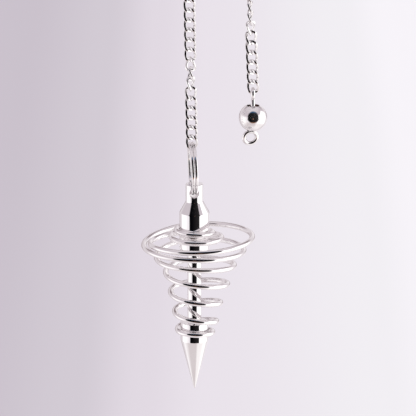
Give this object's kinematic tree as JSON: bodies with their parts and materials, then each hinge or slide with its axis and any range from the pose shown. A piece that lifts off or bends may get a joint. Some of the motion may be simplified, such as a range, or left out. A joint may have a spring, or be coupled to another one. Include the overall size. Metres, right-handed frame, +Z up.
{
  "type": "pendulum pendant",
  "caption": "Turned dowsing pendulum with a sharp point inside a conical wire spiral, hung by a split ring on a fine curb chain that ends in a drilled ball and ring.",
  "frame": {"origin": "top of the support that the chain hangs over, where the hanging chain is held", "axes": "+Z is up, both legs of the chain hang in the XZ plane, and -Y is the front seen in the picture"},
  "size_m": [0.0269, 0.0239, 0.1397],
  "materials": {
    "turned_silver": "bright polished silver plate with fine turning marks",
    "wire_silver": "bright polished silver-plated wire",
    "chain_silver": "bright silver-plated fine chain, slightly worn where the links rub",
    "ball_silver": "mirror-polished silver plate"
  },
  "bodies": {
    "hanger": {"chain": "chain_silver", "split_ring": "wire_silver", "ball": "ball_silver", "ball_pin": "wire_silver"},
    "pendant": {"head": "turned_silver", "shaft": "turned_silver", "point": "turned_silver", "spiral_wire": "wire_silver"}
  },
  "joints": [
    {"name": "pendant_swing", "type": "hinge", "parent": "hanger", "child": "pendant", "pos_m": [-0.00404, 0, -0.09443], "axis": [0, 1, 0], "range_deg": [-60, 60]}
  ]
}
